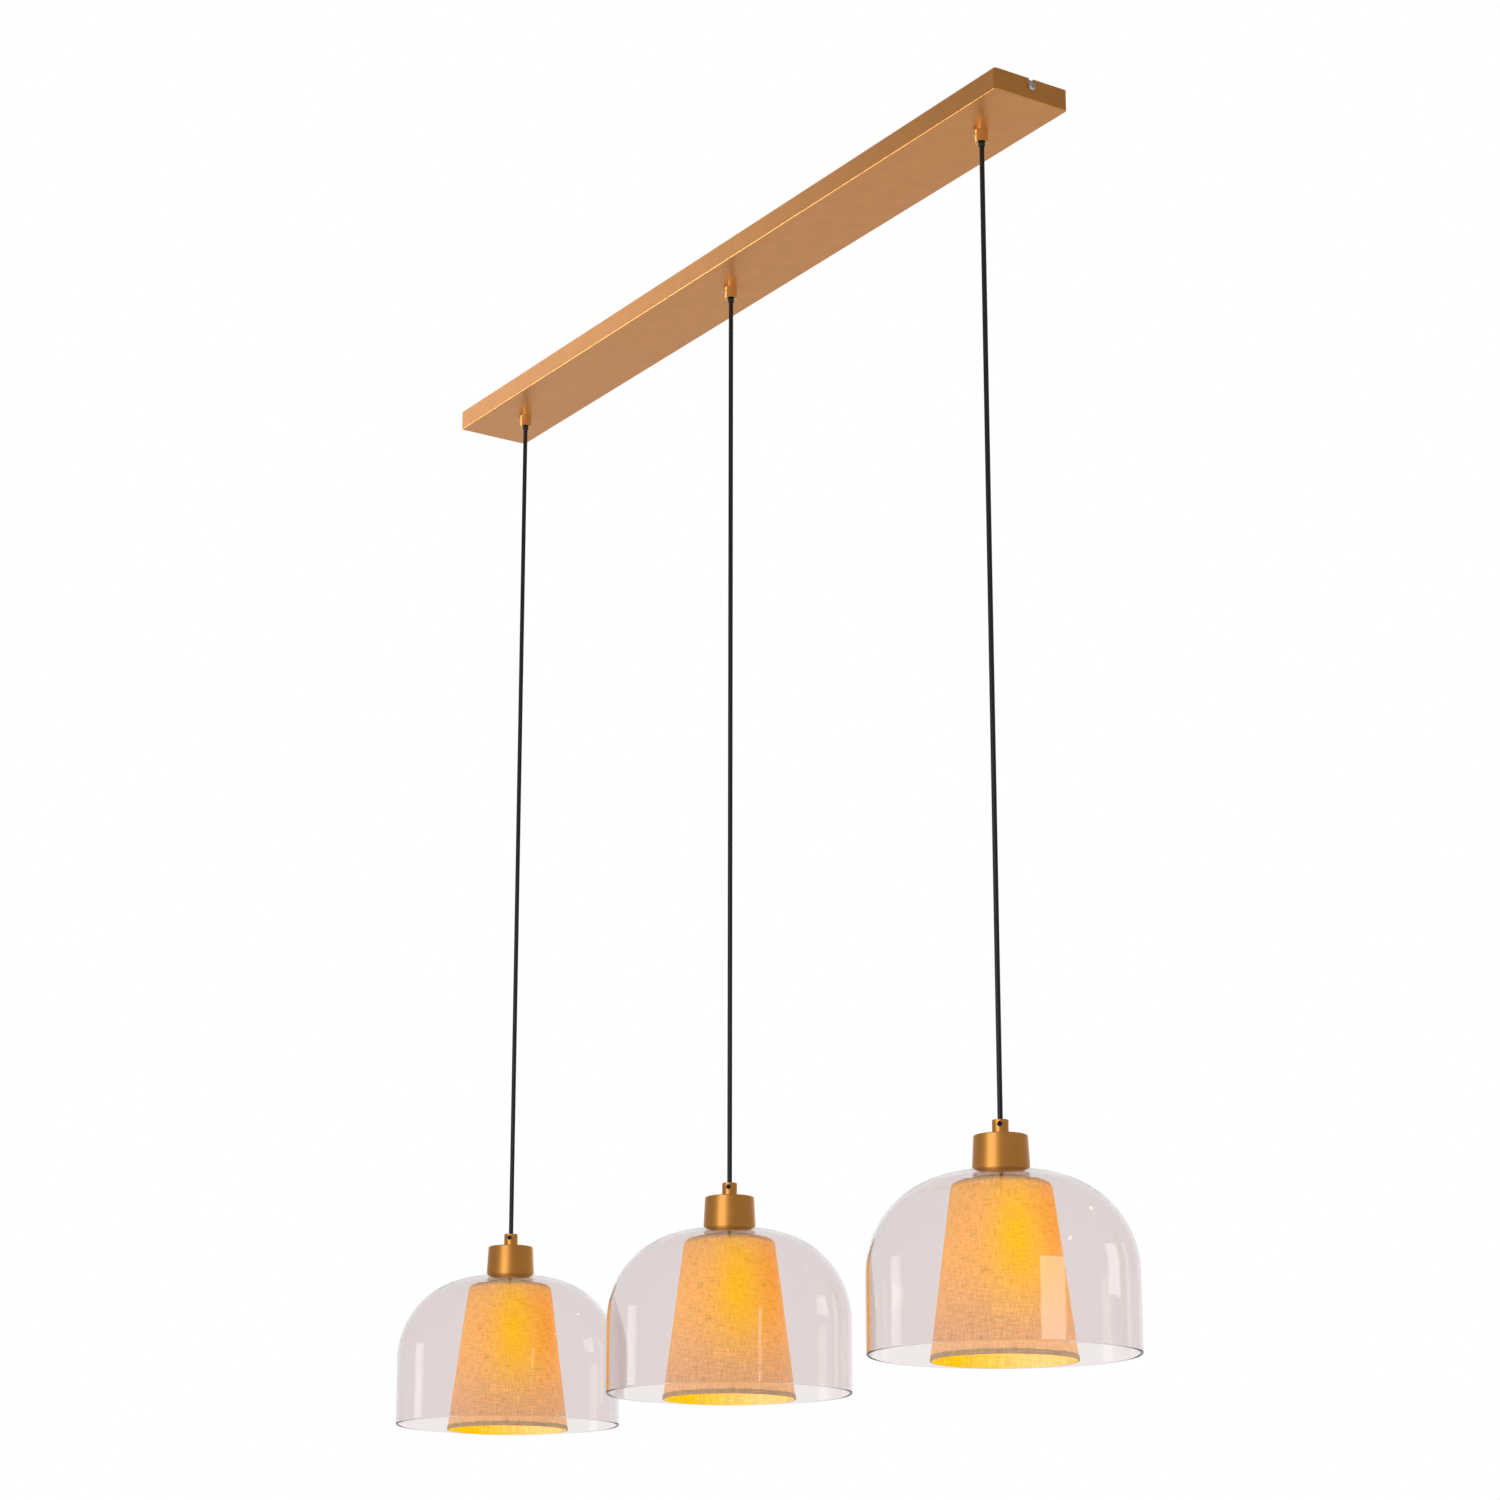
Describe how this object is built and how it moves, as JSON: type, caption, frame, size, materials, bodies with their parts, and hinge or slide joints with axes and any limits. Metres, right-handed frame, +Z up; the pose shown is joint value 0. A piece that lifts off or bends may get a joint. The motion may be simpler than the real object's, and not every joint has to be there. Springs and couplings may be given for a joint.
{
  "type": "linear island pendant light",
  "caption": "Linear ceiling pendant: a long flat gold canopy with bell-shaped clear glass domes on black cords, each round a lit linen drum shade under a small metal cup.",
  "frame": {"origin": "middle of the upper face of the strip bracket, which lies on the ceiling", "axes": "+Z up into the ceiling, +X along the canopy towards its right end, +Y across it towards the back"},
  "size_m": [1.3, 0.28, 1.386],
  "materials": {
    "gold_paint": "satin gold lacquer on steel",
    "satin_gold": "satin gold lacquer on turned brass",
    "black_steel": "black oxide on steel",
    "bronze_paint": "satin bronze lacquer on steel",
    "zinc_steel": "zinc-plated steel, satin",
    "screw_steel": "bright plated steel",
    "brass": "plain brass",
    "black_plastic": "fine matt moulding",
    "black_cord": "smooth flexible sheath, satin",
    "white_plastic": "matt heat-proof moulding",
    "white_wire": "white lacquer on steel wire",
    "clear_glass": "clear blown glass with a faint warm grey tint",
    "linen": "open-weave linen with slubs",
    "opal_glass": "opal glass, lit",
    "bulb_metal": "plain aluminium"
  },
  "bodies": {
    "bracket": {"ceiling_bracket": "zinc_steel"},
    "end_screw_left": {"end_screw_left": "screw_steel"},
    "end_screw_right": {"end_screw_right": "screw_steel"},
    "canopy": {"canopy_tray": "gold_paint", "junction_box": "white_plastic", "junction_lid": "white_plastic", "lid_screws": "screw_steel", "earth_stud": "zinc_steel", "earth_nut": "brass", "grip_nuts": "zinc_steel", "grip_side_screws": "screw_steel", "left_grip_body": "gold_paint", "left_cord_tail": "black_cord", "middle_grip_body": "gold_paint", "middle_cord_tail": "black_cord", "right_grip_body": "gold_paint", "right_cord_tail": "black_cord"},
    "left_ball": {"left_grip_ball": "black_plastic"},
    "left_pendant": {"left_cord_bush": "black_plastic", "left_cord": "black_cord", "left_cord_cap": "satin_gold", "left_cap_grub_screw": "black_steel", "left_cup": "satin_gold", "left_lampholder": "white_plastic", "left_lampholder_contacts": "brass", "left_shade_rings": "bronze_paint", "left_glass_dome": "clear_glass", "left_shade_fitter": "white_wire", "left_linen_shade": "linen"},
    "left_bulb": {"left_bulb_cap": "bulb_metal", "left_bulb_globe": "opal_glass"},
    "middle_ball": {"middle_grip_ball": "black_plastic"},
    "middle_pendant": {"middle_cord_bush": "black_plastic", "middle_cord": "black_cord", "middle_cord_cap": "satin_gold", "middle_cap_grub_screw": "black_steel", "middle_cup": "satin_gold", "middle_lampholder": "white_plastic", "middle_lampholder_contacts": "brass", "middle_shade_rings": "bronze_paint", "middle_glass_dome": "clear_glass", "middle_shade_fitter": "white_wire", "middle_linen_shade": "linen"},
    "middle_bulb": {"middle_bulb_cap": "bulb_metal", "middle_bulb_globe": "opal_glass"},
    "right_ball": {"right_grip_ball": "black_plastic"},
    "right_pendant": {"right_cord_bush": "black_plastic", "right_cord": "black_cord", "right_cord_cap": "satin_gold", "right_cap_grub_screw": "black_steel", "right_cup": "satin_gold", "right_lampholder": "white_plastic", "right_lampholder_contacts": "brass", "right_shade_rings": "bronze_paint", "right_glass_dome": "clear_glass", "right_shade_fitter": "white_wire", "right_linen_shade": "linen"},
    "right_bulb": {"right_bulb_cap": "bulb_metal", "right_bulb_globe": "opal_glass"}
  },
  "joints": [
    {"name": "canopy_drop", "type": "slide", "parent": "bracket", "child": "canopy", "axis": [0, 0, -1], "range_m": [0, 0.06]},
    {"name": "end_screw_left_out", "type": "slide", "parent": "bracket", "child": "end_screw_left", "axis": [-1, 0, 0], "range_m": [0, 0.006]},
    {"name": "end_screw_right_out", "type": "slide", "parent": "bracket", "child": "end_screw_right", "axis": [1, 0, 0], "range_m": [0, 0.006]},
    {"name": "left_swing_across", "type": "hinge", "parent": "canopy", "child": "left_ball", "pos_m": [-0.51, 0, -0.0356], "axis": [1, 0, 0], "range_deg": [-14, 14]},
    {"name": "left_swing_along", "type": "hinge", "parent": "left_ball", "child": "left_pendant", "pos_m": [-0.51, 0, -0.0356], "axis": [0, 1, 0], "range_deg": [-4.5, 14]},
    {"name": "left_bulb_out", "type": "slide", "parent": "left_pendant", "child": "left_bulb", "axis": [0, 0, -1], "range_m": [0, 0.2]},
    {"name": "middle_swing_across", "type": "hinge", "parent": "canopy", "child": "middle_ball", "pos_m": [0, 0, -0.0356], "axis": [1, 0, 0], "range_deg": [-14, 14]},
    {"name": "middle_swing_along", "type": "hinge", "parent": "middle_ball", "child": "middle_pendant", "pos_m": [0, 0, -0.0356], "axis": [0, 1, 0], "range_deg": [-4.5, 4.5]},
    {"name": "middle_bulb_out", "type": "slide", "parent": "middle_pendant", "child": "middle_bulb", "axis": [0, 0, -1], "range_m": [0, 0.2]},
    {"name": "right_swing_across", "type": "hinge", "parent": "canopy", "child": "right_ball", "pos_m": [0.51, 0, -0.0356], "axis": [1, 0, 0], "range_deg": [-14, 14]},
    {"name": "right_swing_along", "type": "hinge", "parent": "right_ball", "child": "right_pendant", "pos_m": [0.51, 0, -0.0356], "axis": [0, 1, 0], "range_deg": [-14, 4.5]},
    {"name": "right_bulb_out", "type": "slide", "parent": "right_pendant", "child": "right_bulb", "axis": [0, 0, -1], "range_m": [0, 0.2]}
  ]
}
